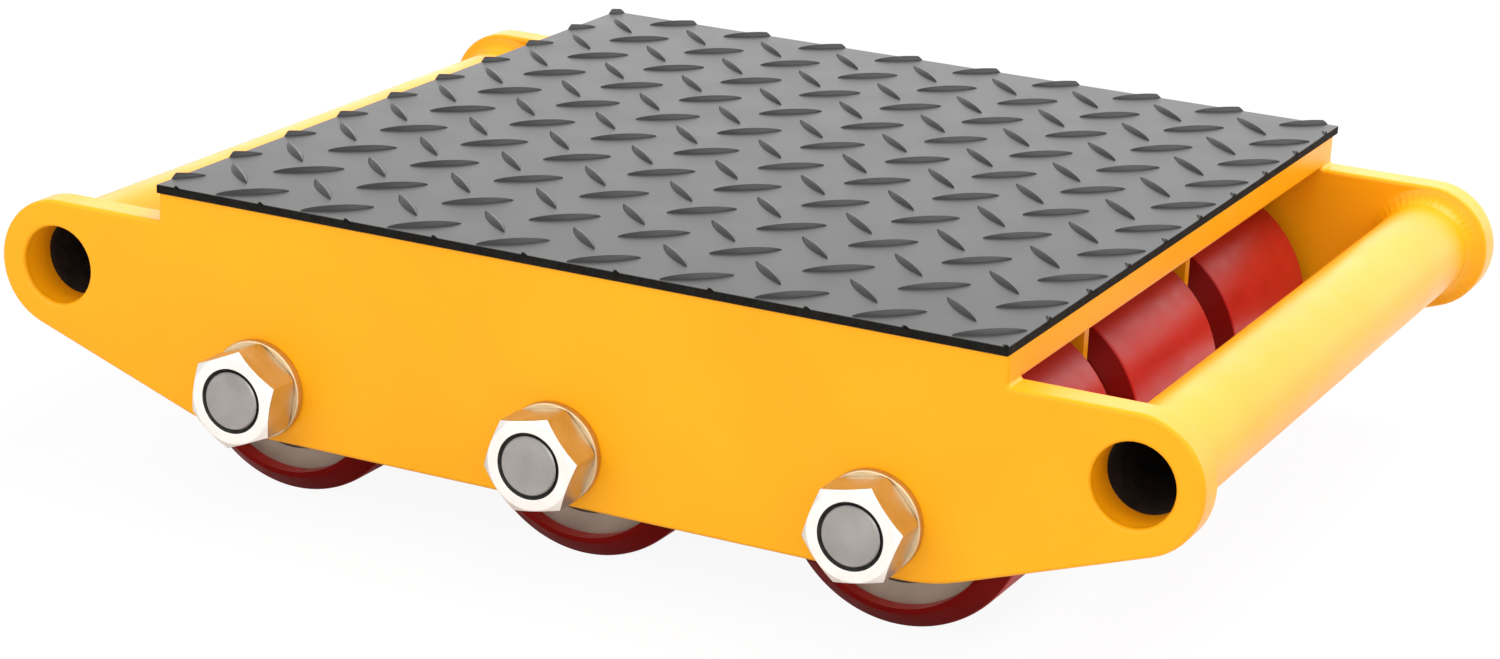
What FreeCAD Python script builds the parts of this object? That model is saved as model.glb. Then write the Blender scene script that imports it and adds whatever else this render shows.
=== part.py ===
import FreeCAD, Part
import math
import os
import re

import Sketcher

# A low machine skate: a welded steel frame with a rubber-topped deck, a pipe between the ears at each
# end, and three axles that each carry three rollers. +X is the rolling direction, +Y runs along the
# axles towards the rear plate and +Z is up. The origin is on the floor under the middle of the axles.

# Driving dimensions in millimetres.
SIZES = {
    # Rollers: a polyurethane tyre bonded on a slightly shorter steel core that holds a bearing at each end.
    "roller_radius": 42.5,
    "tyre_thickness": 8.2,
    "tyre_chamfer": 6.5,
    "core_inset": 5.0,
    "core_end_wall": 7.0,
    "core_recess_depth": 5.0,
    # Room round the rollers.
    "roller_deck_gap": 8.5,
    "roller_row_gap": 28.0,
    "roller_side_gap": 3.5,
    "roller_rib_gap": 1.5,
    # Deck plate, between the side plates.
    "deck_width": 316.0,
    "deck_thickness": 10.0,
    "deck_end_reach": 41.0,
    "deck_edge_radius": 1.5,
    # Rubber mat with lens-shaped tread bars.
    "mat_thickness": 3.0,
    "mat_front_overhang": 1.0,
    "mat_rear_overhang": 5.0,
    "tread_pitch_along": 33.25,
    "tread_pitch_across": 34.2,
    "tread_shift_along": 10.55,
    "tread_shift_across": -12.1,
    "tread_bar_length": 25.0,
    "tread_bar_width": 6.0,
    "tread_bar_height": 1.8,
    "tread_bar_flank": 1.8,
    # Side plates, with an ear at each end.
    "plate_thickness": 12.0,
    "plate_below_axle": 18.2,
    "plate_foot_reach": 9.5,
    "plate_bend_radius": 60.0,
    "plate_step_radius": 1.2,
    "plate_edge_radius": 1.5,
    "ear_radius": 22.9,
    "ear_reach": 42.0,
    "ear_hole_step": 0.05,
    # Pipes between the ears, inside the ears' rims, and the weld beads round their ends.
    "ear_rim": 6.05,
    "tube_wall": 3.3,
    "weld_leg": 5.0,
    # Ribs between the rows of rollers.
    "rib_thickness": 4.0,
    "rib_below_axle": 15.5,
    "rib_end_reach": 25.0,
    "rib_corner": 12.0,
    # Axles with their nuts, washers and spacer sleeves.
    "axle_radius": 10.0,
    "axle_end_chamfer": 0.5,
    "axle_end_proud": 0.2,
    "axle_hole_gap": 0.3,
    "nut_across_flats": 30.0,
    "nut_thickness": 14.5,
    "nut_corner_cut": 2.3,
    "nut_countersink": 1.2,
    "washer_radius": 17.0,
    "washer_thickness": 3.0,
    "washer_gap": 0.5,
    # Deep-groove ball bearings. Sleeves and shoulders stay back from the lands of the rings they touch.
    "bearing_width": 14.0,
    "raceway_gap": 0.25,
    "ring_land_step": 0.85,
    # Radial gap of every pressed, bonded or sliding fit.
    "fit_gap": 0.03,
}

# How far the bearing reaches from the axle to the outside of the core.
BEARING_SHARE = 0.5556
# A ball's radius, as a share of the bearing's radius.
BALL_SHARE = 0.1681
# The gap between the rings' lands, as a share of the bearing's radial depth.
LAND_GAP_SHARE = 0.3556

# Sizes that follow from the driving ones.
DERIVED_SIZES = {
    "axle_spacing": "2 * roller_radius + roller_row_gap",
    "deck_half_length": "axle_spacing + deck_end_reach",
    "deck_bottom_height": "2 * roller_radius + roller_deck_gap",
    "deck_top_height": "deck_bottom_height + deck_thickness",
    "plate_outer_face": "deck_width / 2",
    "plate_inner_face": "plate_outer_face - plate_thickness",
    "plate_bottom_height": "roller_radius - plate_below_axle",
    "plate_foot_half": "axle_spacing + plate_foot_reach",
    "ear_along": "deck_half_length + ear_reach",
    "ear_height": "deck_bottom_height - ear_radius",
    "tube_radius": "ear_radius - ear_rim",
    "tube_bore_radius": "tube_radius - tube_wall",
    "ear_hole_radius": "tube_bore_radius + ear_hole_step",
    "weld_radius": "tube_radius + fit_gap",
    "axle_hole_radius": "axle_radius + axle_hole_gap",
    "shaft_bore_radius": "axle_radius + fit_gap",
    "axle_half_length": "plate_outer_face + washer_thickness + nut_thickness + axle_end_proud",
    "rib_room": "rib_thickness + 2 * roller_rib_gap",
    "roller_length": "(2 * plate_inner_face - 2 * roller_side_gap - 2 * rib_room) / 3",
    "roller_pitch": "roller_length + rib_room",
    "rib_middle": "roller_pitch / 2",
    "core_radius": "roller_radius - tyre_thickness",
    "core_recess_radius": "core_radius - core_end_wall",
    "core_half_length": "roller_length / 2 - core_inset",
    "bearing_depth": f"{BEARING_SHARE} * (core_radius - axle_radius)",
    "bearing_radius": "axle_radius + bearing_depth",
    "bearing_seat_radius": "bearing_radius + fit_gap",
    "bearing_pitch_radius": "axle_radius + bearing_depth / 2",
    "bearing_land_gap": f"{LAND_GAP_SHARE} * bearing_depth",
    "inner_land_radius": "bearing_pitch_radius - bearing_land_gap / 2",
    "outer_land_radius": "bearing_pitch_radius + bearing_land_gap / 2",
    "spacer_radius": "inner_land_radius - ring_land_step",
    "core_bore_radius": "outer_land_radius + ring_land_step",
    "bearing_offset": "core_half_length - core_recess_depth - bearing_width / 2",
    "ball_radius": f"{BALL_SHARE} * bearing_radius",
    "raceway_radius": "ball_radius + raceway_gap",
}

BALL_COUNT = 8
NUT_SIDES = 6
TREAD_DEGREES = (45, -45)
# How far each axle's front and rear nut happens to be turned, left axle to right axle.
FRONT_NUT_DEGREES = (83, 71, 71.5)
REAR_NUT_DEGREES = (52, 77, 95)
AXLES = {"left": -1, "centre": 0, "right": 1}
ROWS = {"front": -1, "middle": 0, "rear": 1}
# The shallow corner chamfer of a hexagon nut, as height over depth.
NUT_CHAMFER_SHARE = 0.577
# How flat a face or edge has to be to count as lying on a plane, as a share of the plate's thickness.
FLATNESS_SHARE = 0.001

doc = FreeCAD.newDocument("machine_skate")
sheet = doc.addObject("Spreadsheet::Sheet", "dims")
pieces = []


def in_sheet(formula):
    """The formula with each size's name pointing at its cell."""
    return re.sub(r"[a-z]+(?:_[a-z]+)+", lambda name: "dims." + name.group(0), formula)


def fill_sheet():
    row = 0
    for name, amount in SIZES.items():
        row += 1
        sheet.set(f"A{row}", name)
        sheet.set(f"B{row}", str(amount))
        sheet.setAlias(f"B{row}", name)
    for name, formula in DERIVED_SIZES.items():
        row += 1
        sheet.set(f"A{row}", name)
        sheet.set(f"B{row}", "=" + formula)
        sheet.setAlias(f"B{row}", name)
    doc.recompute()


def size(formula):
    """The present value of a formula in the sheet's names."""
    return float(sheet.evalExpression(in_sheet(formula)))


def bind(thing, prop, formula):
    thing.setExpression(prop, in_sheet(formula))


def place(thing, along="0", across="0", height="0"):
    for axis, formula in zip("xyz", (along, across, height)):
        bind(thing, "Placement.Base." + axis, formula)


def piece(thing, label):
    """Marks a finished object as one of the part's pieces."""
    thing.Label = label
    pieces.append(thing)
    return thing


def origin_plane(body, role):
    return next(plane for plane in body.Origin.OriginFeatures if plane.Role == role)


def new_sketch(body, role):
    sketch = body.newObject("Sketcher::SketchObject", "outline")
    sketch.AttachmentSupport = [(origin_plane(body, role), "")]
    sketch.MapMode = "FlatFace"
    return sketch


def pin_point(sketch, line, end, across, up):
    """Holds one end of a sketch line at a place given by two formulas."""
    for kind, formula in (("DistanceX", across), ("DistanceY", up)):
        number = sketch.addConstraint(Sketcher.Constraint(kind, line, end, size(formula)))
        bind(sketch, f"Constraints[{number}]", formula)


def draw_polygon(sketch, corners):
    """A closed outline through corners that are given as pairs of formulas."""
    points = [FreeCAD.Vector(size(across), size(up), 0) for across, up in corners]
    first = sketch.GeometryCount
    for number, point in enumerate(points):
        after = points[(number + 1) % len(points)]
        sketch.addGeometry(Part.LineSegment(point, after), False)
    for number, (across, up) in enumerate(corners):
        line = first + number
        following = first + (number + 1) % len(corners)
        sketch.addConstraint(Sketcher.Constraint("Coincident", line, 2, following, 1))
        pin_point(sketch, line, 1, across, up)


def draw_circle(sketch, across, up, radius):
    middle = FreeCAD.Vector(size(across), size(up), 0)
    circle = sketch.addGeometry(Part.Circle(middle, FreeCAD.Vector(0, 0, 1), size(radius)), False)
    pin_point(sketch, circle, 3, across, up)
    number = sketch.addConstraint(Sketcher.Constraint("Radius", circle, size(radius)))
    bind(sketch, f"Constraints[{number}]", radius)


def turned(outlines, several=False):
    """A body turned about its own Y axis from outlines of (radius, place along Y)."""
    body = doc.addObject("PartDesign::Body", "turned")
    body.AllowCompound = several
    sketch = new_sketch(body, "XY_Plane")
    for corners in outlines:
        draw_polygon(sketch, corners)
    spin = body.newObject("PartDesign::Revolution", "spin")
    spin.Profile = sketch
    spin.ReferenceAxis = (sketch, ["V_Axis"])
    spin.Angle = 360
    return body


def ring_outline(inner, outer, low, high):
    return [(inner, low), (outer, low), (outer, high), (inner, high)]


def padded(draw, thickness):
    """A plate drawn in X and Z that reaches from Y = 0 towards the front by its thickness."""
    body = doc.addObject("PartDesign::Body", "plate")
    sketch = new_sketch(body, "XZ_Plane")
    draw(sketch)
    pad = body.newObject("PartDesign::Pad", "pad")
    pad.Profile = sketch
    bind(pad, "Length", thickness)
    return body


def round_edges(body, choose, radius):
    """Rounds those edges of a padded plate that are chosen from its shape."""
    doc.recompute()
    pad = body.Tip
    rounding = body.newObject("PartDesign::Fillet", "rounding")
    rounding.Base = (pad, choose(pad.Shape))
    bind(rounding, "Radius", radius)


# Side plates.

def slope_angle():
    """The angle of the sloping edge that touches the foot's bend and the ear."""
    along = size("ear_along - plate_foot_half")
    up = size("ear_height - plate_bottom_height - plate_bend_radius")
    turn = math.asin(size("ear_radius - plate_bend_radius") / math.hypot(along, up))
    return math.atan2(up, along) - turn


def arc(sketch, side, along, up, radius, start, end):
    """An arc with angles counted on the right-hand side and mirrored on the left-hand side."""
    middle = FreeCAD.Vector(side * size(along), size(up), 0)
    circle = Part.Circle(middle, FreeCAD.Vector(0, 0, 1), size(radius))
    if side < 0:
        start, end = math.pi - end, math.pi - start
    return sketch.addGeometry(Part.ArcOfCircle(circle, start, end), False)


def line(sketch, start, end):
    return sketch.addGeometry(Part.LineSegment(FreeCAD.Vector(*start, 0), FreeCAD.Vector(*end, 0)), False)


def hold_size(sketch, kind, parts, formula):
    number = sketch.addConstraint(Sketcher.Constraint(kind, *parts, size(formula)))
    bind(sketch, f"Constraints[{number}]", formula)


def draw_plate_half(sketch, side, top, foot):
    """One end of the side plate: step, ear, slope and bend, joined to the top and foot lines."""
    slope = slope_angle()
    down = math.pi / 2
    sign = "" if side > 0 else "-"
    # The lines and arcs, drawn where the tangents below keep them.
    half, top_up, step_up, step = map(size, ("deck_half_length", "deck_top_height", "deck_bottom_height",
                                             "plate_step_radius"))
    ear_along, ear_up, ear = map(size, ("ear_along", "ear_height", "ear_radius"))
    bend_along, bend = map(size, ("plate_foot_half", "plate_bend_radius"))
    bend_up = size("plate_bottom_height + plate_bend_radius")
    touch_ear = (side * (ear_along + ear * math.sin(slope)), ear_up - ear * math.cos(slope))
    touch_bend = (side * (bend_along + bend * math.sin(slope)), bend_up - bend * math.cos(slope))
    rise = line(sketch, (side * half, top_up), (side * half, step_up + step))
    corner = arc(sketch, side, "deck_half_length + plate_step_radius",
                 "deck_bottom_height + plate_step_radius", "plate_step_radius", math.pi, math.pi + down)
    shoulder = line(sketch, (side * (half + step), step_up), (side * ear_along, step_up))
    round_end = arc(sketch, side, "ear_along", "ear_height", "ear_radius", slope - down, down)
    flank = line(sketch, touch_ear, touch_bend)
    foot_bend = arc(sketch, side, "plate_foot_half", "plate_bottom_height + plate_bend_radius",
                    "plate_bend_radius", -down, slope - down)
    # An arc's first end lies clockwise, so the ends swap on the mirrored side.
    first, last = (1, 2) if side > 0 else (2, 1)
    end_of_line = 2 if side > 0 else 1
    sketch.addConstraint(Sketcher.Constraint("Coincident", top, end_of_line, rise, 1))
    joins = ((rise, 2, corner, first), (corner, last, shoulder, 1), (shoulder, 2, round_end, last),
             (round_end, first, flank, 1), (flank, 2, foot_bend, last), (foot_bend, first, foot, end_of_line))
    for one, one_end, other, other_end in joins:
        sketch.addConstraint(Sketcher.Constraint("Tangent", one, one_end, other, other_end))
    sketch.addConstraint(Sketcher.Constraint("Vertical", rise))
    sketch.addConstraint(Sketcher.Constraint("Horizontal", shoulder))
    hold_size(sketch, "DistanceY", (shoulder, 2), "deck_bottom_height")
    hold_size(sketch, "Radius", (corner,), "plate_step_radius")
    hold_size(sketch, "Radius", (round_end,), "ear_radius")
    hold_size(sketch, "DistanceX", (round_end, 3), sign + "ear_along")
    hold_size(sketch, "Radius", (foot_bend,), "plate_bend_radius")
    draw_circle(sketch, sign + "ear_along", "ear_height", "ear_hole_radius")


def draw_axle_holes(sketch):
    for way in AXLES.values():
        draw_circle(sketch, f"{way} * axle_spacing", "roller_radius", "axle_hole_radius")


def draw_side_plate(sketch):
    half, high, foot_half, low = map(size, ("deck_half_length", "deck_top_height", "plate_foot_half",
                                            "plate_bottom_height"))
    top = line(sketch, (-half, high), (half, high))
    foot = line(sketch, (-foot_half, low), (foot_half, low))
    pin_point(sketch, top, 1, "-deck_half_length", "deck_top_height")
    pin_point(sketch, top, 2, "deck_half_length", "deck_top_height")
    pin_point(sketch, foot, 1, "-plate_foot_half", "plate_bottom_height")
    pin_point(sketch, foot, 2, "plate_foot_half", "plate_bottom_height")
    for side in (1, -1):
        draw_plate_half(sketch, side, top, foot)
    draw_axle_holes(sketch)


def rounded_plate_edges(shape):
    """Names of the edges round both big faces, without the top edge under the mat and the axle holes."""
    near = FLATNESS_SHARE * size("plate_thickness")
    names = []
    for number, edge in enumerate(shape.Edges, 1):
        box = edge.BoundBox
        is_flat = box.YLength < near
        under_mat = box.ZMin > size("deck_top_height") - near
        axle_hole = (isinstance(edge.Curve, Part.Circle)
                     and abs(edge.Curve.Radius - size("axle_hole_radius")) < near)
        if is_flat and not under_mat and not axle_hole:
            names.append(f"Edge{number}")
    return names


def side_plate(label, outer_face):
    body = padded(draw_side_plate, "plate_thickness")
    round_edges(body, rounded_plate_edges, "plate_edge_radius")
    place(body, across=outer_face)
    piece(body, label)


# Deck, mat and ribs.

def draw_deck(sketch):
    draw_polygon(sketch, [
        ("-deck_half_length", "deck_bottom_height"),
        ("deck_half_length", "deck_bottom_height"),
        ("deck_half_length", "deck_top_height"),
        ("-deck_half_length", "deck_top_height"),
    ])


def lower_end_edges(shape):
    """Names of the deck's two lower edges above the end tubes."""
    near = FLATNESS_SHARE * size("deck_thickness")
    names = []
    for number, edge in enumerate(shape.Edges, 1):
        box = edge.BoundBox
        if box.ZMax < size("deck_bottom_height") + near and box.XLength < near:
            names.append(f"Edge{number}")
    return names


def deck_plate():
    body = padded(draw_deck, "2 * plate_inner_face")
    round_edges(body, lower_end_edges, "deck_edge_radius")
    place(body, across="plate_inner_face")
    piece(body, "deck_plate")


def lens_wire(length, width, height):
    tail, tip = (FreeCAD.Vector(way * length / 2, 0, height) for way in (-1, 1))
    low, high = (FreeCAD.Vector(0, way * width / 2, height) for way in (-1, 1))
    return Part.Wire([Part.Arc(tail, high, tip).toShape(), Part.Arc(tip, low, tail).toShape()])


def tread_bar():
    """One lens-shaped bar with sloping flanks and a flat top."""
    length, width, flank = map(size, ("tread_bar_length", "tread_bar_width", "tread_bar_flank"))
    top_share = 1 - 2 * flank / width
    low = lens_wire(length, width, 0)
    high = lens_wire(length * top_share, width * top_share, size("tread_bar_height"))
    return Part.makeLoft([low, high], True, True)


def tread_places(reach_along, reach_across):
    """Where the bars lie: two grids, each half a pitch from the other, with bars turned opposite ways."""
    pitch_along, pitch_across = size("tread_pitch_along"), size("tread_pitch_across")
    columns = math.ceil(reach_along / pitch_along) + 1
    rows = math.ceil(reach_across / pitch_across) + 1
    for grid, degrees in enumerate(TREAD_DEGREES):
        for column in range(-columns, columns + 1):
            for row in range(-rows, rows + 1):
                along = size("tread_shift_along") + (column + grid / 2) * pitch_along
                across = size("tread_shift_across") + (row + grid / 2) * pitch_across
                yield along, across, degrees


def deck_mat():
    """The mat is cut from a sheet, so the bars at its edges are cut through."""
    half = size("deck_half_length")
    front = -size("plate_outer_face + mat_front_overhang")
    rear = size("plate_outer_face + mat_rear_overhang")
    corner = FreeCAD.Vector(-half, front, 0)
    slab = Part.makeBox(2 * half, rear - front, size("mat_thickness"), corner)
    upwards = FreeCAD.Vector(0, 0, 1)
    room = Part.makeBox(2 * half, rear - front, size("tread_bar_height"), corner)
    whole_bar = tread_bar()
    bars = []
    for along, across, degrees in tread_places(half, rear):
        bar = whole_bar.copy()
        bar.rotate(FreeCAD.Vector(), upwards, degrees)
        bar.translate(FreeCAD.Vector(along, across, 0))
        box = bar.BoundBox
        if box.XMax < -half or box.XMin > half or box.YMax < front or box.YMin > rear:
            continue
        if box.XMin < -half or box.XMax > half or box.YMin < front or box.YMax > rear:
            bar = bar.common(room)
        bars.extend(bar.Solids)
    for bar in bars:
        bar.translate(upwards * size("mat_thickness"))
    mat = doc.addObject("Part::Feature", "mat")
    mat.Shape = slab.multiFuse(bars)
    place(mat, height="deck_top_height")
    piece(mat, "deck_mat")


def draw_rib(sketch):
    end = "axle_spacing + rib_end_reach"
    low = "roller_radius - rib_below_axle"
    draw_polygon(sketch, [
        (f"-({end})", "deck_bottom_height"),
        (f"-({end})", f"{low} + rib_corner"),
        (f"-({end}) + rib_corner", low),
        (f"{end} - rib_corner", low),
        (end, f"{low} + rib_corner"),
        (end, "deck_bottom_height"),
    ])
    draw_axle_holes(sketch)


def rib(label, way):
    body = padded(draw_rib, "rib_thickness")
    place(body, across=f"{way} * rib_middle + rib_thickness / 2")
    piece(body, label)


# End tubes and their welds.

def end_tube(label, way):
    tube = turned([ring_outline("tube_bore_radius", "tube_radius", "-plate_inner_face", "plate_inner_face")])
    place(tube, along=f"{way} * ear_along", height="ear_height")
    piece(tube, label)


def tube_welds():
    """A three-cornered bead round each end of each tube, against the ear."""
    beads = []
    for way in (-1, 1):
        for side in (-1, 1):
            face = f"{side} * plate_inner_face"
            toe = f"{face} - {side} * weld_leg"
            bead = turned([[("weld_radius", face), ("weld_radius + weld_leg", face), ("weld_radius", toe)]])
            place(bead, along=f"{way} * ear_along", height="ear_height")
            beads.append(bead)
    group(beads, "tube_welds")


def group(things, label):
    """Several equal pieces in one node."""
    together = doc.addObject("Part::Compound", "group")
    together.Links = things
    piece(together, label)


# Axles, nuts and washers.

def at_axle(thing, way, across="0"):
    place(thing, f"{way} * axle_spacing", across, "roller_radius")


def axle(label, way):
    end, chamfer = "axle_half_length", "axle_end_chamfer"
    rod = turned([[
        ("0", f"-{end}"),
        (f"axle_radius - {chamfer}", f"-{end}"),
        ("axle_radius", f"-{end} + {chamfer}"),
        ("axle_radius", f"{end} - {chamfer}"),
        (f"axle_radius - {chamfer}", end),
        ("0", end),
    ]])
    at_axle(rod, way)
    piece(rod, label)


def cut_round(body, outlines):
    """Turns the outlines about the body's Y axis and takes them away."""
    sketch = new_sketch(body, "XY_Plane")
    for corners in outlines:
        draw_polygon(sketch, corners)
    cut = body.newObject("PartDesign::Groove", "cut")
    cut.Profile = sketch
    cut.ReferenceAxis = (sketch, ["V_Axis"])
    cut.Angle = 360


def nut(way, side, degrees):
    """A hexagon nut with its inner face at Y = 0 and its corners and bore chamfered at both faces."""
    corner = "nut_across_flats / 2 / cos(30)"

    def draw_hexagon(sketch):
        turns = [degrees + number * 360 / NUT_SIDES for number in range(NUT_SIDES)]
        draw_polygon(sketch, [(f"{corner} * cos({turn})", f"{corner} * sin({turn})") for turn in turns])

    body = padded(draw_hexagon, "nut_thickness")
    outer, inner = "-nut_thickness", "0"
    past, depth = f"{corner} + nut_corner_cut", f"2 * nut_corner_cut * {NUT_CHAMFER_SHARE}"
    near = f"{corner} - nut_corner_cut"
    cut_round(body, [
        [(near, outer), (past, f"{outer} + {depth}"), (past, outer)],
        [(near, inner), (past, inner), (past, f"{inner} - {depth}")],
    ])
    bore, mouth = "shaft_bore_radius", "shaft_bore_radius + nut_countersink"
    cut_round(body, [[
        ("0", outer), (mouth, outer), (bore, f"{outer} + nut_countersink"),
        (bore, f"{inner} - nut_countersink"), (mouth, inner), ("0", inner),
    ]])
    seat = "plate_outer_face + washer_thickness"
    at_axle(body, way, f"-({seat})" if side < 0 else f"{seat} + nut_thickness")
    return body


def washer(way, side):
    low, high = f"{side} * plate_outer_face", f"{side} * (plate_outer_face + washer_thickness)"
    disc = turned([ring_outline("axle_radius + washer_gap", "washer_radius", low, high)])
    at_axle(disc, way)
    return disc


def fasteners():
    nuts = []
    washers = []
    for way, front, rear in zip(AXLES.values(), FRONT_NUT_DEGREES, REAR_NUT_DEGREES):
        for side, degrees in ((-1, front), (1, rear)):
            nuts.append(nut(way, side, degrees))
            washers.append(washer(way, side))
    group(nuts, "axle_nuts")
    group(washers, "axle_washers")


# Rollers and what carries them on the axles.

def row_middle(row):
    return f"{row} * roller_pitch"


def axle_spacers(label, way):
    """Sleeves inside each roller and from each roller's bearings to the plate or rib beside it."""
    outlines = []
    for row in ROWS.values():
        middle = row_middle(row)
        inside = "bearing_offset - bearing_width / 2"
        outside = "bearing_offset + bearing_width / 2"
        low, high = f"{middle} - ({inside})", f"{middle} + {inside}"
        outlines.append(ring_outline("shaft_bore_radius", "spacer_radius", low, high))
        for side in (-1, 1):
            gap = "roller_side_gap" if side == row else "roller_rib_gap"
            low = f"{middle} + {side} * ({outside})"
            high = f"{middle} + {side} * (roller_length / 2 + {gap})"
            outlines.append(ring_outline("shaft_bore_radius", "spacer_radius", low, high))
    sleeves = turned(outlines, several=True)
    at_axle(sleeves, way)
    piece(sleeves, label)


def bearing_ring(inner, outer, middle):
    """One ring of a ball bearing, with its raceway, at a place along Y."""
    low, high = f"{middle} - bearing_width / 2", f"{middle} + bearing_width / 2"
    ring = turned([ring_outline(inner, outer, low, high)])
    race = doc.addObject("Part::Torus", "race")
    bind(race, "Radius1", "bearing_pitch_radius")
    bind(race, "Radius2", "raceway_radius")
    race.Placement.Rotation = FreeCAD.Rotation(FreeCAD.Vector(1, 0, 0), 90)
    place(race, across=middle)
    grooved = doc.addObject("Part::Cut", "ring")
    grooved.Base = ring
    grooved.Tool = race
    return grooved


def bearing_middles(row):
    return [f"{row_middle(row)} + {side} * bearing_offset" for side in (-1, 1)]


def inner_rings(label, way):
    rings = []
    for row in ROWS.values():
        for middle in bearing_middles(row):
            ring = bearing_ring("shaft_bore_radius", "inner_land_radius", middle)
            at_axle(ring, way)
            rings.append(ring)
    group(rings, label)


def outer_rings(label, way, row):
    rings = []
    for middle in bearing_middles(row):
        ring = bearing_ring("outer_land_radius", "bearing_radius", middle)
        at_axle(ring, way)
        rings.append(ring)
    group(rings, label)


def balls(label, way, row):
    pitch_radius, ball_radius = size("bearing_pitch_radius"), size("ball_radius")
    spheres = []
    for middle in bearing_middles(row):
        for number in range(BALL_COUNT):
            angle = 2 * math.pi * number / BALL_COUNT
            along, up = pitch_radius * math.cos(angle), pitch_radius * math.sin(angle)
            spheres.append(Part.makeSphere(ball_radius, FreeCAD.Vector(along, size(middle), up)))
    set_of_balls = doc.addObject("Part::Feature", "balls")
    set_of_balls.Shape = Part.makeCompound(spheres)
    at_axle(set_of_balls, way)
    piece(set_of_balls, label)


def core(label, way, row):
    """A steel barrel with an open recess and a bearing seat at each end."""
    end = "core_half_length"
    floor = f"{end} - core_recess_depth"
    seat = f"{floor} - bearing_width"
    steps = [
        ("core_bore_radius", seat), ("bearing_seat_radius", seat), ("bearing_seat_radius", floor),
        ("core_recess_radius", floor), ("core_recess_radius", end), ("core_radius", end),
    ]
    front = [(radius, f"-1 * ({along})") for radius, along in steps]
    rear = [(radius, f"1 * ({along})") for radius, along in reversed(steps)]
    barrel = turned([front + rear])
    at_axle(barrel, way, row_middle(row))
    piece(barrel, label)


def tyre(label, way, row):
    """A polyurethane tread with chamfered shoulders."""
    end = "roller_length / 2"
    inner = "core_radius + fit_gap"
    tread = turned([[
        (inner, f"-{end}"),
        ("roller_radius - tyre_chamfer", f"-{end}"),
        ("roller_radius", f"-{end} + tyre_chamfer"),
        ("roller_radius", f"{end} - tyre_chamfer"),
        ("roller_radius - tyre_chamfer", end),
        (inner, end),
    ]])
    at_axle(tread, way, row_middle(row))
    piece(tread, label)


def build():
    fill_sheet()
    side_plate("front_side_plate", "-plate_inner_face")
    side_plate("rear_side_plate", "plate_outer_face")
    deck_plate()
    deck_mat()
    rib("front_rib", -1)
    rib("rear_rib", 1)
    end_tube("left_end_tube", -1)
    end_tube("right_end_tube", 1)
    tube_welds()
    fasteners()
    for axle_name, way in AXLES.items():
        axle(f"{axle_name}_axle", way)
        axle_spacers(f"{axle_name}_axle_spacers", way)
        inner_rings(f"{axle_name}_bearing_inner_rings", way)
        for row_name, row in ROWS.items():
            roller = f"{axle_name}_{row_name}"
            tyre(f"{roller}_tyre", way, row)
            core(f"{roller}_roller_core", way, row)
            outer_rings(f"{roller}_bearing_outer_rings", way, row)
            balls(f"{roller}_bearing_balls", way, row)
    doc.recompute()


def check():
    for thing in doc.Objects:
        if "Invalid" in thing.State or "Error" in thing.State:
            raise RuntimeError(f"{thing.Name} ({thing.Label}) failed: {thing.State}")
    for thing in pieces:
        if thing.Shape.isNull() or not thing.Shape.isValid() or not thing.Shape.Solids:
            raise RuntimeError(f"{thing.Label} has no valid solid")


def write():
    os.makedirs("parts", exist_ok=True)
    for thing in pieces:
        thing.Shape.exportStep(f"parts/{thing.Label}.step")
        print(f"{thing.Label}: {len(thing.Shape.Solids)} solids, {thing.Shape.Volume:.0f} mm3")


build()
check()
write()
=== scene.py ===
import math

import bmesh
import bpy
from mathutils import Matrix, Vector

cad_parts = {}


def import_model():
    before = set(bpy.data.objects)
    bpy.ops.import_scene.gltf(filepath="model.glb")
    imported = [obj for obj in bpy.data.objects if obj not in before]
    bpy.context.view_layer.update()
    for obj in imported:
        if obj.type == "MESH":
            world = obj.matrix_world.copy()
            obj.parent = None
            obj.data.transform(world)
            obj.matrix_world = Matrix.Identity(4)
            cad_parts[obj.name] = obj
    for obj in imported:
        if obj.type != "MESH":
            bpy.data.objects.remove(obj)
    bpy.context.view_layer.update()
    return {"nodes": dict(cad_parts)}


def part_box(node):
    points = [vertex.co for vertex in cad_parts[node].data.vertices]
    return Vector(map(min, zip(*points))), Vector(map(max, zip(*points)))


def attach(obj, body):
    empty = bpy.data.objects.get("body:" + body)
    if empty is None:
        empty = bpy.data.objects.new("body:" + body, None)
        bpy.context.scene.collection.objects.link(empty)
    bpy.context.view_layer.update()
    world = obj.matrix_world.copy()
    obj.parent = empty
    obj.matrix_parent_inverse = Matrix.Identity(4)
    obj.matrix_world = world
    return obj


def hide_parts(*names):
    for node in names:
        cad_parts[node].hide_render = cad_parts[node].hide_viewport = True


# A low machine skate in a plain white studio. Lengths are in metres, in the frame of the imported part:
# +X is the rolling direction, +Y runs along the axles and +Z is up.
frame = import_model()

AXLES = ("left", "centre", "right")
ROWS = ("front", "middle", "rear")
ENDS = ("left", "right")
SIDES = {"front": -1, "rear": 1}

# Turned pieces are smooth where their faces meet at less than this angle.
SMOOTH_DEGREES = 40

# Tyres: rounded chamfers at both shoulders. A face whose normal leans further along Y than the end slope
# has the ends' darker red: tread and ends are lit and shaded copies of one red, painted light and painted
# shade.
TYRE_CHAMFER = 0.0065
TYRE_FACE_ROUNDING = 0.0016
TYRE_TREAD_ROUNDING = 0.0030
TYRE_STEPS = 160
TYRE_END_SLOPE = 0.4

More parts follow.
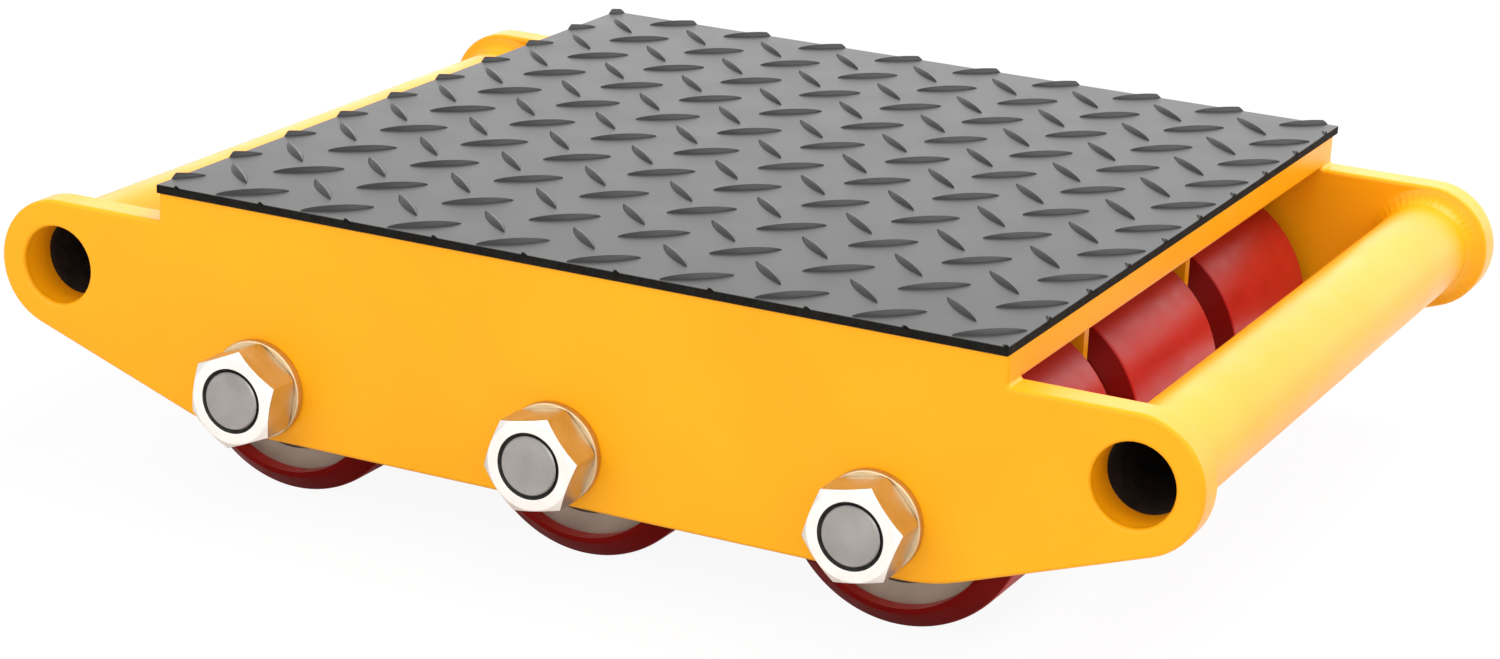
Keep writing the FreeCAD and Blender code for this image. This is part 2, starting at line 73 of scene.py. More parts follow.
# Mat: a slab with lens-shaped tread bars in two grids, half a pitch apart and turned opposite ways. Faces
# of more than the broad area are shaded flat, so that the rounded edges don't bend their sheen.
MAT_THICKNESS = 0.003
MAT_EDGE_ROUNDING = 0.0003
MAT_EDGE_SEGMENTS = 2
MAT_BROAD_AREA = 0.0005
MAT_SMOOTH_DEGREES = 50
TREAD_PITCH = (0.03325, 0.0342)
TREAD_SHIFT = (0.01055, -0.0121)
TREAD_DEGREES = (45, -45)
BAR_LENGTH = 0.025
BAR_WIDTH = 0.0044
BAR_HEIGHT_SHARE = 0.84
BAR_TIP_SHARE = 0.985
BAR_CROWN_POWER = 0.6
BAR_CREST_POWER = 1.6
BAR_SKIRT_POWER = 1.15
BAR_SUNK = 0.0004
BAR_STEPS_ALONG = 20
BAR_STEPS_ACROSS = 14

# Nuts: hexagons turned as they happened to be tightened, left axle to right axle. A face whose normal leans
# less along Y than the side slope is one of the six sides.
NUT_ACROSS_FLATS = 0.030
NUT_FACE_RADIUS = 0.0148
NUT_CHAMFER_SLOPE = 0.577
NUT_COUNTERSINK = 0.0012
NUT_EDGE_ROUNDING = 0.0003
NUT_EDGE_SEGMENTS = 2
NUT_EDGE_DEGREES = 20
NUT_SIDE_SLOPE = 0.5
NUT_STEPS_PER_SIDE = 12
NUT_SIDES = 6
FRONT_NUT_DEGREES = (83, 71, 71.5)
REAR_NUT_DEGREES = (52, 77, 95)
WASHER_BORE_RADIUS = 0.0105
WASHER_EDGE_ROUNDING = 0.0006
WASHER_STEPS = 96

# Pipes: their wall, and the film of paint that runs from the ears' holes a little way into their bores.
PIPE_WALL = 0.0033
FILM_THICKNESS = 0.0001
FILM_START = 0.003
FILM_TAPER = 0.0006
OVERSPRAY = 0.003
FILM_STEPS = 96

# Weld beads round the pipes' ends.
WELD_LEG = 0.005
WELD_HOLLOW = 0.0008
WELD_RIPPLE = 0.00012
WELD_RIPPLE_COUNT = 46
WELD_STEPS_PER_RIPPLE = 6
WELD_STEPS_ACROSS = 8
WELD_SMOOTH_DEGREES = 50

# Ground-flush fillers in the grooves between the deck's ends and the side plates.
SEAM_WIDTH = 0.0018
SEAM_OVERLAP = 0.0003
SEAM_SUNK = 0.00001
SEAM_SMOOTH_DEGREES = 30

# Finishes: the darkest and the lightest colour that each one varies between.
PAINT_SHADES = ((0.93, 0.375, 0.002, 1), (0.98, 0.42, 0.004, 1))
BORE_SHADES = ((0.010, 0.008, 0.007, 1), (0.03, 0.02, 0.015, 1))
RUBBER_SHADES = ((0.033, 0.033, 0.0335, 1), (0.042, 0.042, 0.043, 1))
CUT_RUBBER_SHADES = ((0.005, 0.004, 0.003, 1), (0.010, 0.009, 0.007, 1))
# The tread's lighter red and the ends' darker red are lit and shaded copies of one red: painted light and
# painted shade.
LIT_TREAD_SHADES = ((0.37, 0.010, 0.007, 1), (0.45, 0.015, 0.010, 1))
SHADED_TYRE_END_SHADES = ((0.14, 0.003, 0.002, 1), (0.18, 0.004, 0.003, 1))
NUT_FACE_SHADES = ((0.75, 0.72, 0.685, 1), (0.83, 0.80, 0.765, 1))
# The nuts' sides are a darker copy of the zinc on their faces: painted shade.
SHADED_NUT_SIDE_SHADES = ((0.58, 0.53, 0.46, 1), (0.68, 0.62, 0.54, 1))
# The washers' tan is a painted reflection of the yellow plates and the nuts' sides.
WASHER_REFLECTION_SHADES = ((0.56, 0.42, 0.25, 1), (0.66, 0.50, 0.31, 1))
# The near-black inside the nuts' mouths is painted shade of the gap round the axles' ends.
MOUTH_SHADE_SHADES = ((0.010, 0.010, 0.009, 1), (0.03, 0.028, 0.025, 1))
AXLE_SHADES = ((0.27, 0.255, 0.245, 1), (0.34, 0.325, 0.31, 1))
CORE_SHADES = ((0.29, 0.24, 0.195, 1), (0.38, 0.315, 0.26, 1))
BEARING_SHADES = ((0.55, 0.55, 0.55, 1), (0.66, 0.66, 0.66, 1))
PAINT_SPECULAR = 0.24
BORE_ROUGHNESS = 0.8

# Tool marks on turned metal: how many rings in a metre of radius, and the diameters they are scaled by.
TOOL_RINGS_PER_METRE = 3500
AXLE_DIAMETER = 0.020
CORE_DIAMETER = 0.070
BEARING_DIAMETER = 0.047

# Where the camera stands, found from the straight edges and circles of the picture.
IMAGE_WIDTH_MM = 36.0
LENS_MM = 88.33
CAMERA_YAW = 25.5537
CAMERA_PITCH = 17.7431
CAMERA_ROLL = 2.7695
CAMERA_TARGET = (0.0213, -0.0614, 0.0618)
CAMERA_DISTANCE = 1.25362

# Studio: the floor's own colour, how much of it is shown as plain white, and how the surround's light rises
# from the horizon to straight above.
FLOOR_SIZE = 12
FLOOR_COLOUR = (0.62, 0.62, 0.62, 1)
FLOOR_SEEN_COLOUR = (0.85, 0.85, 0.85, 1)
FLOOR_WHITE_SHARE = 0.93
FLOOR_MIRRORED_SHARE = 0.05
SURROUND_COLOUR = (1, 1, 1, 1)
SURROUND_SEEN_LIGHT = 1.0
SKY_LIGHT_LOW = 0.08
SKY_LIGHT_HIGH = 1.1

# Soft lamps: where each one stands, the point that it faces, its width and height, and its watts.
LAMP_AIM = (0, 0, 0.05)
LAMPS = {
    "key": ((-0.7, -2.2, 1.1), LAMP_AIM, (2.6, 1.4), 27),
    "back": ((0, 2.6, 1.05), (0, 0, 1.05), (5.0, 2.1), 44),
    "right": ((1.5, -1.8, 1.1), LAMP_AIM, (1.8, 1.4), 16),
    "top": ((0.8, 0.6, 1.9), LAMP_AIM, (1.4, 1.4), 34),
}


# Mesh helpers.

def fillet(before, corner, after, radius, steps):
    """The points of an arc that rounds one corner of an outline."""
    back = (before - corner).normalized()
    ahead = (after - corner).normalized()
    half = back.angle(ahead) / 2
    reach = radius / math.tan(half)
    middle = corner + (back + ahead).normalized() * (radius / math.sin(half))
    start = corner + back * reach - middle
    end = corner + ahead * reach - middle
    turn = start.angle_signed(end)
    points = []
    for step in range(steps + 1):
        points.append(middle + Matrix.Rotation(-turn * step / steps, 2) @ start)
    return points


def rounded_outline(corners, steps=5):
    """A closed outline from (radius, along, rounding) corners."""
    spots = [Vector(corner[:2]) for corner in corners]
    points = []
    for number, (spot, corner) in enumerate(zip(spots, corners)):
        rounding = corner[2]
        if rounding:
            after = spots[(number + 1) % len(spots)]
            points += fillet(spots[number - 1], spot, after, rounding, steps)
        else:
            points.append(spot)
    return points


def new_piece(name, mesh, body):
    piece = bpy.data.objects.new(name, mesh)
    bpy.context.scene.collection.objects.link(piece)
    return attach(piece, body)


def finished_mesh(name, shape, smooth_degrees, materials):
    """The mesh of a bmesh, smooth up to a given angle between faces."""
    bmesh.ops.recalc_face_normals(shape, faces=shape.faces)
    mesh = bpy.data.meshes.new(name)
    shape.to_mesh(mesh)
    shape.free()
    mesh.shade_smooth()
    mesh.set_sharp_from_angle(angle=math.radians(smooth_degrees))
    for material in materials:
        mesh.materials.append(material)
    return mesh


def join(shape, ring, after):
    """Faces between two closed rings that have the same number of vertices."""
    faces = []
    for step in range(len(ring)):
        beside = (step + 1) % len(ring)
        faces.append(shape.faces.new((ring[step], ring[beside], after[beside], after[step])))
    return faces


def turned_mesh(name, centre, outline_at, steps, smooth_degrees, materials):
    """A closed mesh round a Y axis, from the outline of (radius, along) points at each angle."""
    shape = bmesh.new()
    rings = []
    for step in range(steps):
        angle = 2 * math.pi * step / steps
        ring = []
        for radius, along in outline_at(angle):
            offset = Vector((radius * math.cos(angle), along, radius * math.sin(angle)))
            ring.append(shape.verts.new(centre + offset))
        rings.append(ring)
    for number, ring in enumerate(rings):
        join(shape, ring, rings[(number + 1) % steps])
    return finished_mesh(name, shape, smooth_degrees, materials)


def middle_of(node):
    low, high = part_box(node)
    return (low + high) / 2


# Material helpers.

class Nodes:
    """A node tree under construction."""

    def __init__(self, tree):
        self.tree = tree

    def feed(self, socket, value):
        if isinstance(value, bpy.types.NodeSocket):
            self.tree.links.new(value, socket)
        else:
            socket.default_value = value

    def node(self, kind, inputs, **settings):
        node = self.tree.nodes.new("ShaderNode" + kind)
        for name, value in settings.items():
            setattr(node, name, value)
        for socket, value in inputs.items():
            self.feed(node.inputs[socket], value)
        return node

    def math(self, operation, first, second):
        return self.node("Math", {0: first, 1: second}, operation=operation).outputs[0]

    def spread(self, value, low, high, from_low=0.3, from_high=0.7):
        """The value's usual range stretched to another one."""
        inputs = {"Value": value, "From Min": from_low, "From Max": from_high, "To Min": low, "To Max": high}
        return self.node("MapRange", inputs).outputs["Result"]

    def mix(self, share, first, second):
        inputs = {0: share, 6: first, 7: second}
        return self.node("Mix", inputs, data_type="RGBA").outputs[2]

    def seen_directly(self):
        """1 for what the camera sees, straight or in a mirror, and 0 for the light that falls on things."""
        path = self.node("LightPath", {})
        mirrored = self.math("MAXIMUM", path.outputs["Is Glossy Ray"], path.outputs["Is Transmission Ray"])
        return self.math("MAXIMUM", path.outputs["Is Camera Ray"], mirrored)


class Look(Nodes):
    """A material under construction: its nodes and its surface shader."""

    def __init__(self, name):
        self.material = bpy.data.materials.new(name)
        self.material.use_nodes = True
        super().__init__(self.material.node_tree)
        self.shader = self.tree.nodes["Principled BSDF"]

    def surface(self, **inputs):
        for name, value in inputs.items():
            self.feed(self.shader.inputs[name.replace("_", " ").title().replace("Ior", "IOR")], value)

    def place(self):
        """Where a point lies on the piece at rest, in metres."""
        return self.node("TexCoord", {}).outputs["Object"]

    def away_from(self, place, centre):
        """How far a point lies from the line along Y through a centre."""
        offset = self.node("VectorMath", {0: place, 1: centre}, operation="SUBTRACT")
        flat = self.node("VectorMath", {0: offset.outputs[0], 1: (1, 0, 1)}, operation="MULTIPLY")
        return self.node("VectorMath", {0: flat.outputs[0]}, operation="LENGTH").outputs["Value"]

    def radius(self, diameter):
        """How far a point lies from the axis of a round piece that lies along Y."""
        share = self.away_from(self.node("TexCoord", {}).outputs["Generated"], (0.5, 0.5, 0.5))
        return self.math("MULTIPLY", share, diameter)

    def noise(self, place, per_metre, detail=2.0):
        inputs = {"Vector": place, "Scale": per_metre, "Detail": detail}
        return self.node("TexNoise", inputs).outputs["Fac"]

    def lines(self, place, per_metre):
        """Noise along one direction only, such as tool marks."""
        return self.node("TexNoise", {"W": place, "Scale": per_metre}, noise_dimensions="1D").outputs["Fac"]

    def shade(self, value, shades):
        """A colour between the dark and the light one of a finish."""
        return self.mix(self.spread(value, 0, 1), *shades)

    def bump(self, height, strength, depth, under=None):
        inputs = {"Height": height, "Strength": strength, "Distance": depth}
        if under:
            inputs["Normal"] = under
        return self.node("Bump", inputs).outputs["Normal"]


# Materials.

def paint_colour(look, place):
    return look.shade(look.noise(place, per_metre=14), PAINT_SHADES)


def paint_roughness(look, place):
    return look.spread(look.noise(place, per_metre=60), low=0.30, high=0.38)


def paint_relief(look, place):
    """The faint orange peel of sprayed paint, with a few specks of dust in it."""
    peel = look.bump(look.noise(place, per_metre=420), strength=0.10, depth=0.0004)
    specks = look.spread(look.noise(place, per_metre=1500, detail=0), 0, 1, from_low=0.72, from_high=0.80)
    return look.bump(specks, strength=0.15, depth=0.0002, under=peel)


def paint():
    look = Look("yellow_paint")
    place = look.place()
    look.surface(base_color=paint_colour(look, place), roughness=paint_roughness(look, place),
                 normal=paint_relief(look, place), specular_ior_level=PAINT_SPECULAR)
    return look.material


def pipe_paint():
    """Paint outside, and bare dark steel in the bore. Both pipes lie alike on either side of the middle."""
    look = Look("pipe_paint")
    place = look.place()
    low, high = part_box("right_end_tube")
    middle = (low + high) / 2
    mirrored = look.node("VectorMath", {0: place}, operation="ABSOLUTE").outputs[0]
    away = look.away_from(mirrored, (middle.x, 0, middle.z))
    in_bore = look.math("LESS_THAN", away, (high.x - low.x) / 2 - PIPE_WALL / 2)
    rust = look.shade(look.noise(place, per_metre=220), BORE_SHADES)
    bore_roughness = look.math("MULTIPLY", in_bore, BORE_ROUGHNESS)
    look.surface(base_color=look.mix(in_bore, paint_colour(look, place), rust),
                 roughness=look.math("MAXIMUM", paint_roughness(look, place), bore_roughness),
                 normal=paint_relief(look, place), specular_ior_level=PAINT_SPECULAR)
    return look.material


def rubber():
    look = Look("mat_rubber")
    place = look.place()
    grain = look.noise(place, per_metre=2200, detail=3)
    dust = look.noise(place, per_metre=45, detail=4)
    look.surface(base_color=look.shade(dust, RUBBER_SHADES), roughness=look.spread(dust, low=0.29, high=0.34),
                 normal=look.bump(grain, strength=0.06, depth=0.0003), specular_ior_level=0.105)
    return look.material


def cut_rubber():
    """The mat's cut sides: matt and darker than its moulded top."""
    look = Look("cut_rubber")
    place = look.place()
    fibres = look.noise(place, per_metre=1200, detail=3)
    look.surface(base_color=look.shade(look.noise(place, per_metre=700), CUT_RUBBER_SHADES),
                 roughness=look.spread(look.noise(place, per_metre=300), low=0.75, high=0.95),
                 normal=look.bump(fibres, strength=0.3, depth=0.0003), specular_ior_level=0.12)
    return look.material


def polyurethane(name, shades, marks_per_metre, specular):
    """Cast polyurethane with fine turning marks along the axle."""
    look = Look(name)
    place = look.place()
    along = look.node("SeparateXYZ", {0: place}).outputs["Y"]
    marks = look.bump(look.lines(along, marks_per_metre), strength=0.06, depth=0.0003)
    skin = look.noise(place, per_metre=500)
    look.surface(base_color=look.shade(look.noise(place, per_metre=30, detail=3), shades),
                 roughness=look.spread(look.noise(place, per_metre=120), low=0.30, high=0.42),
                 normal=look.bump(skin, strength=0.05, depth=0.0004, under=marks),
                 specular_ior_level=specular)
    return look.material


def turned_metal(name, diameter, shades, roughness, metallic, marks=0.15):
    """Machined metal with ring-shaped tool marks round its axis."""
    look = Look(name)
    rings = look.lines(look.radius(diameter), TOOL_RINGS_PER_METRE)
    stains = look.noise(look.place(), per_metre=90, detail=4)
    look.surface(base_color=look.shade(stains, shades), metallic=metallic,
                 roughness=look.spread(stains, roughness - 0.06, roughness + 0.06),
                 normal=look.bump(rings, strength=marks, depth=0.0002))
    return look.material


def zinc(name, shades, roughness):
    look = Look(name)
    place = look.place()
    clouds = look.noise(place, per_metre=130, detail=3)
    look.surface(base_color=look.shade(clouds, shades), metallic=1.0,
                 roughness=look.spread(clouds, roughness - 0.05, roughness + 0.05),
                 normal=look.bump(look.noise(place, per_metre=900), strength=0.05, depth=0.0003))
    return look.material


def mouth_shade_steel():
    """Steel inside the nuts' mouths, painted near-black as the shade in the gap round each axle's end."""
    look = Look("mouth_shade_steel")
    place = look.place()
    look.surface(base_color=look.shade(look.noise(place, per_metre=500), MOUTH_SHADE_SHADES),
                 roughness=look.spread(look.noise(place, per_metre=800), low=0.5, high=0.7),
                 specular_ior_level=0.2)
    return look.material


# Pieces.

def tyre(axle, row, tread, ends):
    """A tyre with a lighter red on its tread and a darker red on its chamfers and end faces: painted light on
    the tread and painted shade on the ends.
    """
    node = f"{axle}_{row}_tyre"
    core_low, core_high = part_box(f"{axle}_{row}_roller_core")
    low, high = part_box(node)
    inner = (core_high.x - core_low.x) / 2
    outer = (high.x - low.x) / 2
    end = (high.y - low.y) / 2
    corners = [
        (inner, -end, 0),
        (outer - TYRE_CHAMFER, -end, TYRE_FACE_ROUNDING),
        (outer, -end + TYRE_CHAMFER, TYRE_TREAD_ROUNDING),
        (outer, end - TYRE_CHAMFER, TYRE_TREAD_ROUNDING),
        (outer - TYRE_CHAMFER, end, TYRE_FACE_ROUNDING),
        (inner, end, 0),
    ]
    outline = rounded_outline(corners)
    name = f"{axle}_{row}_tread"
    finishes = (tread, ends)
    mesh = turned_mesh(name, middle_of(node), lambda angle: outline, TYRE_STEPS, SMOOTH_DEGREES, finishes)
    for face in mesh.polygons:
        face.material_index = 1 if abs(face.normal.y) > TYRE_END_SLOPE else 0
    piece = new_piece(name, mesh, f"{axle}_{row}_roller")
    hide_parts(node)


def bar_half_width(share):
    """Half the width of a lens of two arcs, at a share of the way from its middle to its tip."""
    arc = (BAR_LENGTH ** 2 + BAR_WIDTH ** 2) / (4 * BAR_WIDTH)
    return math.sqrt(arc ** 2 - (share * BAR_LENGTH / 2) ** 2) - (arc - BAR_WIDTH / 2)


def add_bar(shape, place, height):
    """One closed tread bar: a rounded ridge that sinks a little into the slab."""
    rings = []
    for along in range(BAR_STEPS_ALONG + 1):
        share = math.sin((2 * along / BAR_STEPS_ALONG - 1) * math.pi / 2) * BAR_TIP_SHARE
        half = bar_half_width(share)
        crown = height * (1 - share ** 2) ** BAR_CROWN_POWER
        ring = []
        for across in range(BAR_STEPS_ACROSS + 1):
            side = 2 * across / BAR_STEPS_ACROSS - 1
            rise = crown * (1 - abs(side) ** BAR_CREST_POWER) ** BAR_SKIRT_POWER
            ring.append(shape.verts.new(place @ Vector((share * BAR_LENGTH / 2, side * half, rise))))
        for side in (1, -1):
            ring.append(shape.verts.new(place @ Vector((share * BAR_LENGTH / 2, side * half, -BAR_SUNK))))
        rings.append(ring)
    faces = [shape.faces.new(rings[0]), shape.faces.new(reversed(rings[-1]))]
    for ring, after in zip(rings, rings[1:]):
        faces += join(shape, ring, after)
    return faces


def trim(shape, faces, low, high):
    """Cuts away what reaches past the slab's sides and closes the cuts."""
    for axis in (0, 1):
        for limit, way in ((low, -1), (high, 1)):
            normal = Vector((0, 0, 0))
            normal[axis] = way
            edges = [edge for face in faces for edge in face.edges]
            corners = [corner for face in faces for corner in face.verts]
            parts = list(dict.fromkeys(faces + edges + corners))
            cut = bmesh.ops.bisect_plane(shape, geom=parts, plane_co=limit, plane_no=normal, clear_outer=True)
            rim = [part for part in cut["geom_cut"] if isinstance(part, bmesh.types.BMEdge)]
            faces = [part for part in cut["geom"] if isinstance(part, bmesh.types.BMFace) and part.is_valid]
            if rim:
                faces += bmesh.ops.contextual_create(shape, geom=rim)["faces"]


def mat(top_material, side_material):
    low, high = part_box("deck_mat")
    shape = bmesh.new()
    middle = (low + high) / 2
    size = (high.x - low.x, high.y - low.y, MAT_THICKNESS)
    slab_middle = Vector((middle.x, middle.y, low.z + MAT_THICKNESS / 2))
    bmesh.ops.create_cube(shape, matrix=Matrix.LocRotScale(slab_middle, None, Vector(size)))
    bmesh.ops.bevel(shape, geom=shape.edges[:], offset=MAT_EDGE_ROUNDING, segments=MAT_EDGE_SEGMENTS,
                    profile=0.5, affect="EDGES")
    top = low.z + MAT_THICKNESS
    bar_height = BAR_HEIGHT_SHARE * (high.z - top)
    reach = BAR_LENGTH / 2
    columns, rows = (math.ceil(half / pitch) + 1 for half, pitch in zip((high.x, high.y), TREAD_PITCH))
    for grid, degrees in enumerate(TREAD_DEGREES):
        turn = Matrix.Rotation(math.radians(degrees), 4, "Z")
        for column in range(-columns, columns + 1):
            for row in range(-rows, rows + 1):
                x = TREAD_SHIFT[0] + (column + grid / 2) * TREAD_PITCH[0]
                y = TREAD_SHIFT[1] + (row + grid / 2) * TREAD_PITCH[1]
                if low.x - reach < x < high.x + reach and low.y - reach < y < high.y + reach:
                    bar = add_bar(shape, Matrix.Translation((x, y, top)) @ turn, bar_height)
                    trim(shape, bar, low, high)
    mesh = finished_mesh("tread_mat", shape, MAT_SMOOTH_DEGREES, (top_material, side_material))
    for face in mesh.polygons:
        on_side = (abs(abs(face.center.x - middle.x) - size[0] / 2) < MAT_EDGE_ROUNDING / 2
                   or abs(abs(face.center.y - middle.y) - size[1] / 2) < MAT_EDGE_ROUNDING / 2)
        face.material_index = 1 if on_side else 0
        face.use_smooth = face.area < MAT_BROAD_AREA
    piece = new_piece("tread_mat", mesh, "frame")
    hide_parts("deck_mat")


def nut_outline(bore, thickness):
    """The outline at each angle from a corner: bore, countersinks, chamfered faces and hexagon side."""
    flat = NUT_ACROSS_FLATS / 2
    half = thickness / 2
    side_angle = 2 * math.pi / NUT_SIDES

    def outline(angle):
        side = flat / math.cos(angle % side_angle - side_angle / 2)
        drop = (side - NUT_FACE_RADIUS) * NUT_CHAMFER_SLOPE
        front = [
            (bore, -half + NUT_COUNTERSINK),
            (bore + NUT_COUNTERSINK, -half),
            (NUT_FACE_RADIUS, -half),
            (side, -half + drop),
        ]
        return front + [(radius, -along) for radius, along in reversed(front)]

    return outline


def nut(name, place, thickness, degrees, bore, finishes):
    """A nut with one finish for its faces, a darker copy of it for its six sides that paints their shade, and
    a near-black one for its mouths that paints the shade round the axle's end.
    """
    outline = nut_outline(bore, thickness)
    steps = NUT_SIDES * NUT_STEPS_PER_SIDE
    mesh = turned_mesh(name, Vector(), outline, steps, NUT_EDGE_DEGREES, finishes)
    for face in mesh.polygons:
        if math.hypot(face.center.x, face.center.z) < bore + NUT_COUNTERSINK:
            face.material_index = 2
        elif abs(face.normal.y) < NUT_SIDE_SLOPE:
            face.material_index = 1
    mesh.transform(Matrix.Translation(place) @ Matrix.Rotation(-math.radians(degrees), 4, "Y"))
    piece = new_piece(name, mesh, "frame")
    rounding = piece.modifiers.new("edges", "BEVEL")
    rounding.width = NUT_EDGE_ROUNDING
    rounding.segments = NUT_EDGE_SEGMENTS
    rounding.limit_method = "ANGLE"
    rounding.angle_limit = math.radians(NUT_EDGE_DEGREES)
    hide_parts("axle_nuts")


def washer(name, x, low_y, high_y, height, radius, material):
    corners = [
        (WASHER_BORE_RADIUS, low_y, 0),
        (radius, low_y, WASHER_EDGE_ROUNDING),
        (radius, high_y, WASHER_EDGE_ROUNDING),
        (WASHER_BORE_RADIUS, high_y, 0),
    ]
    outline = rounded_outline(corners)
    centre = Vector((x, 0, height))
    mesh = turned_mesh(name, centre, lambda angle: outline, WASHER_STEPS, SMOOTH_DEGREES, (material,))
    piece = new_piece(name, mesh, "frame")
    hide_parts("axle_washers")


def fasteners(bright, shaded_sides, reflection_tinted, mouth_shade):
    """A nut and a washer at both ends of each axle."""
    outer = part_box("axle_nuts")[1].y
    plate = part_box("rear_side_plate")[1].y
    washer_low, washer_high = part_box("axle_washers")
    seat = washer_high.y
    washer_radius = (washer_high.z - washer_low.z) / 2
    for axle, *turns in zip(AXLES, FRONT_NUT_DEGREES, REAR_NUT_DEGREES):
        low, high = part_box(f"{axle}_axle")
        spot = (low + high) / 2
        bore = (high.x - low.x) / 2
        for (side, way), degrees in zip(SIDES.items(), turns):
            place = Vector((spot.x, way * (seat + outer) / 2, spot.z))
            nut(f"{axle}_{side}_nut", place, outer - seat, degrees, bore, (bright, shaded_sides, mouth_shade))
            near, far = sorted((way * plate, way * seat))
            washer(f"{axle}_{side}_washer", spot.x, near, far, spot.z, washer_radius, reflection_tinted)


def weld(end, side, material):
    """A rippled bead between a pipe's end and the ear beside it."""
    way = SIDES[side]
    low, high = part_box(f"{end}_end_tube")
    middle = (low + high) / 2
    pipe = (high.x - low.x) / 2
    face = high.y if way > 0 else low.y

    def outline(angle):
        ripple = abs(math.sin(angle * WELD_RIPPLE_COUNT / 2))
        bulge = WELD_RIPPLE * ripple - WELD_HOLLOW
        points = [(pipe, face)]
        for step in range(WELD_STEPS_ACROSS + 1):
            share = step / WELD_STEPS_ACROSS
            out = bulge * math.sin(math.pi * share)
            points.append((pipe + WELD_LEG * (1 - share) + out, face - way * (WELD_LEG * share + out)))
        return points

    name = f"{end}_{side}_weld"
    centre = Vector((middle.x, 0, middle.z))
    steps = WELD_RIPPLE_COUNT * WELD_STEPS_PER_RIPPLE
    mesh = turned_mesh(name, centre, outline, steps, WELD_SMOOTH_DEGREES, (material,))
    piece = new_piece(name, mesh, "frame")
    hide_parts("tube_welds")


def bore_film(end, side, material):
    """The paint in an ear's hole, which bridges the joint and thins out inside the pipe."""
    way = SIDES[side]
    low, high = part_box(f"{end}_end_tube")
    plate_low, plate_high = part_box(f"{side}_side_plate")
    middle = (low + high) / 2
    bore = (high.x - low.x) / 2 - PIPE_WALL
    outer = bore + FILM_THICKNESS / 2
    inner = bore - FILM_THICKNESS / 2
    start = (plate_high.y if way > 0 else plate_low.y) - way * FILM_START
    stop = (high.y if way > 0 else low.y) - way * OVERSPRAY
    taper = way * FILM_TAPER
    outline = [(outer, start), (inner, start - taper), (inner, stop + taper), (outer, stop)]
    name = f"{end}_{side}_bore_paint"
    centre = Vector((middle.x, 0, middle.z))
    mesh = turned_mesh(name, centre, lambda angle: outline, FILM_STEPS, SMOOTH_DEGREES, (material,))
    new_piece(name, mesh, "frame")


def deck_seams(material):
    """Fills the grooves between the deck's ends and the plates' rounded edges, ground flush and painted."""
    low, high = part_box("deck_plate")
    shape = bmesh.new()
    for x, along in ((low.x, -1), (high.x, 1)):
        for y, across in ((low.y, -1), (high.y, 1)):
            face = x - along * SEAM_SUNK
            outline = [
                (face, y - across * SEAM_OVERLAP),
                (face, y + across * SEAM_WIDTH),
                (face - along * SEAM_WIDTH, y + across * SEAM_OVERLAP),
                (face - along * SEAM_WIDTH, y - across * SEAM_OVERLAP),
            ]
            rings = []
            for height in (low.z + SEAM_WIDTH, high.z):
                rings.append([shape.verts.new((*spot, height)) for spot in outline])
            for ring in rings:
                shape.faces.new(ring)
            join(shape, *rings)
    mesh = finished_mesh("deck_seams", shape, SEAM_SMOOTH_DEGREES, (material,))
    new_piece("deck_seams", mesh, "frame")


def dress(nodes, material):
    """Gives carried-over nodes their finish."""
    for node in nodes:
        mesh = frame["nodes"][node].data
        mesh.materials.clear()
        mesh.materials.append(material)


def rollers():
    """The rollers, their bearings and the axles that they turn on."""
    # Lit and shaded copies of one red: painted light on the treads and painted shade on the chamfers and end
    # faces.
    lit_tread_red = polyurethane("lit_tread_red", LIT_TREAD_SHADES, marks_per_metre=2600, specular=0.15)
    shaded_end_red = polyurethane("shaded_end_red", SHADED_TYRE_END_SHADES, marks_per_metre=900, specular=0.04)
    axle_steel = turned_metal("axle_steel", AXLE_DIAMETER, AXLE_SHADES, roughness=0.40, metallic=1.0)
    core_iron = turned_metal("core_iron", CORE_DIAMETER, CORE_SHADES, roughness=0.5, metallic=0.6)
    bearing = turned_metal("bearing_steel", BEARING_DIAMETER, BEARING_SHADES, roughness=0.35, metallic=1.0,
                           marks=0.05)
    for axle in AXLES:
        dress((f"{axle}_axle", f"{axle}_axle_spacers"), axle_steel)
        dress((f"{axle}_bearing_inner_rings",), bearing)
        for row in ROWS:
            tyre(axle, row, lit_tread_red, shaded_end_red)
            dress((f"{axle}_{row}_roller_core",), core_iron)
            dress((f"{axle}_{row}_bearing_outer_rings", f"{axle}_{row}_bearing_balls"), bearing)


def object_pieces():
    yellow = paint()
    dress(("front_side_plate", "rear_side_plate", "deck_plate", "front_rib", "rear_rib"), yellow)
    dress(("left_end_tube", "right_end_tube"), pipe_paint())
    mat(rubber(), cut_rubber())
    bright_zinc = zinc("bright_zinc", NUT_FACE_SHADES, roughness=0.34)
    # A darker copy of the faces' zinc for the nuts' sides: painted shade.
    shaded_side_zinc = zinc("shaded_side_zinc", SHADED_NUT_SIDE_SHADES, roughness=0.38)
    # Zinc tinted tan for the washers: a painted reflection of the yellow plates.
    reflection_tinted_zinc = zinc("reflection_tinted_zinc", WASHER_REFLECTION_SHADES, roughness=0.42)
    # The nuts' mouths get near-black steel: painted shade.
    fasteners(bright_zinc, shaded_side_zinc, reflection_tinted_zinc, mouth_shade_steel())
    deck_seams(yellow)
    for end in ENDS:
        for side in SIDES:
            weld(end, side, yellow)
            bore_film(end, side, yellow)
    rollers()


# Studio.

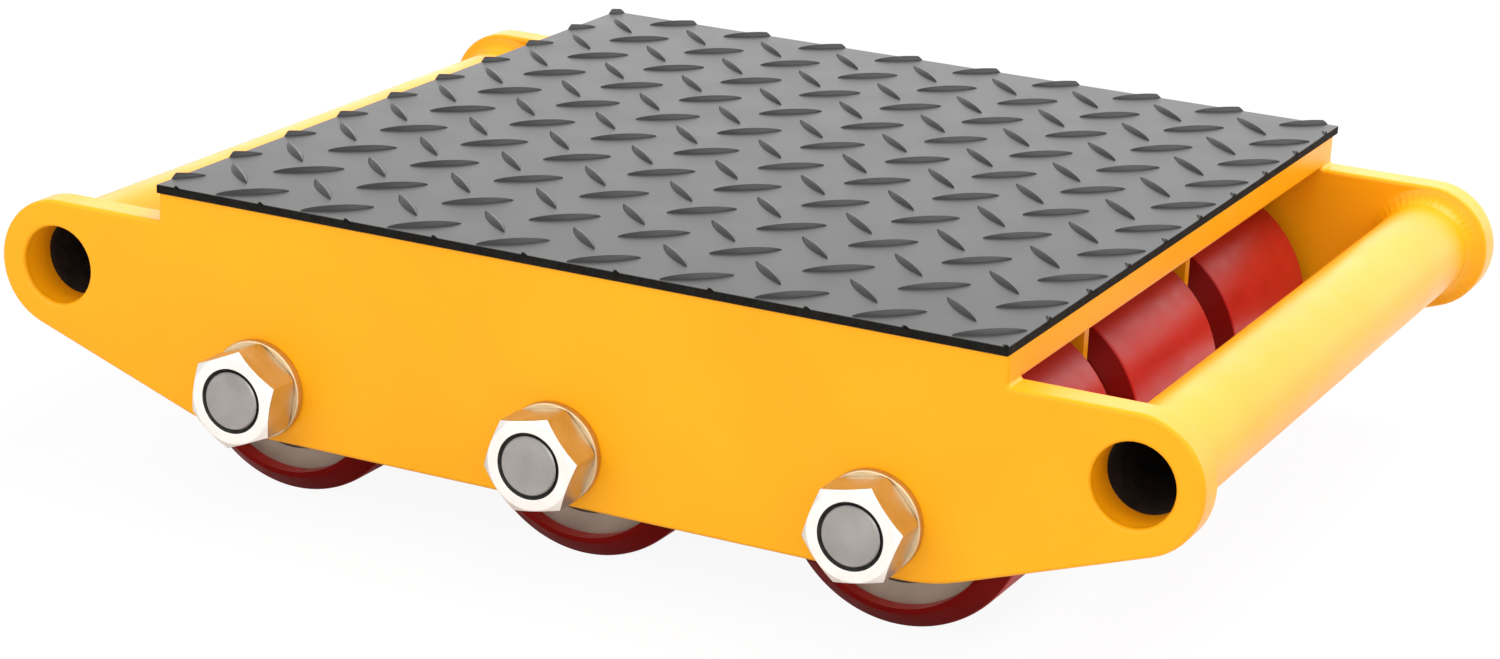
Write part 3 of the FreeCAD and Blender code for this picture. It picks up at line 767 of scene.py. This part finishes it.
def floor():
    """A white floor that shows only a faint shadow."""
    bpy.ops.mesh.primitive_plane_add(size=FLOOR_SIZE)
    plane = bpy.context.object
    plane.name = "studio_floor"
    look = Look("studio_floor")
    look.tree.nodes.remove(look.shader)
    seen = look.seen_directly()
    tint = look.mix(seen, FLOOR_COLOUR, FLOOR_SEEN_COLOUR)
    matt = look.node("BsdfDiffuse", {"Color": tint}).outputs[0]
    white = look.node("Emission", {}).outputs[0]
    by_camera = look.node("LightPath", {}).outputs["Is Camera Ray"]
    share = look.spread(by_camera, FLOOR_MIRRORED_SHARE, FLOOR_WHITE_SHARE, from_low=0, from_high=1)
    blend = look.node("MixShader", {0: look.math("MULTIPLY", share, seen), 1: matt, 2: white}).outputs[0]
    look.feed(look.tree.nodes["Material Output"].inputs["Surface"], blend)
    plane.data.materials.append(look.material)


def world():
    """An even white surround to look at, that lights things more from above than from the sides."""
    surround = bpy.data.worlds.new("studio")
    bpy.context.scene.world = surround
    surround.use_nodes = True
    nodes = Nodes(surround.node_tree)
    back = nodes.tree.nodes["Background"]
    back.inputs["Color"].default_value = SURROUND_COLOUR
    direction = nodes.node("TexCoord", {}).outputs["Generated"]
    height = nodes.node("SeparateXYZ", {0: direction}).outputs["Z"]
    sky = nodes.spread(height, SKY_LIGHT_LOW, SKY_LIGHT_HIGH, from_low=0, from_high=1)
    level = nodes.spread(nodes.seen_directly(), sky, SURROUND_SEEN_LIGHT, from_low=0, from_high=1)
    nodes.feed(back.inputs["Strength"], level)


def softbox(name, place, aim, size, power):
    lamp = bpy.data.lights.new(name, "AREA")
    lamp.shape = "RECTANGLE"
    lamp.size, lamp.size_y = size
    lamp.energy = power
    holder = bpy.data.objects.new(name, lamp)
    holder.location = place
    holder.rotation_euler = (Vector(aim) - Vector(place)).to_track_quat("-Z", "Y").to_euler()
    bpy.context.scene.collection.objects.link(holder)


def lights():
    for name, (place, aim, size, power) in LAMPS.items():
        softbox(name, place, aim, size, power)


def camera():
    yaw, pitch, roll = (math.radians(angle) for angle in (CAMERA_YAW, CAMERA_PITCH, CAMERA_ROLL))
    back = Vector((math.sin(yaw) * math.cos(pitch), -math.cos(yaw) * math.cos(pitch), math.sin(pitch)))
    level = (-back).cross(Vector((0, 0, 1))).normalized()
    upright = level.cross(-back)
    right = math.cos(roll) * level + math.sin(roll) * upright
    up = math.cos(roll) * upright - math.sin(roll) * level
    lens = bpy.data.cameras.new("camera")
    lens.sensor_fit = "HORIZONTAL"
    lens.sensor_width = IMAGE_WIDTH_MM
    lens.lens = LENS_MM
    view = bpy.data.objects.new("camera", lens)
    turn = Matrix((right, up, back)).transposed()
    view.matrix_world = Matrix.LocRotScale(Vector(CAMERA_TARGET) + back * CAMERA_DISTANCE, turn, None)
    bpy.context.scene.collection.objects.link(view)
    bpy.context.scene.camera = view


object_pieces()
floor()
world()
lights()
camera()
bpy.context.scene.view_settings.view_transform = "Standard"
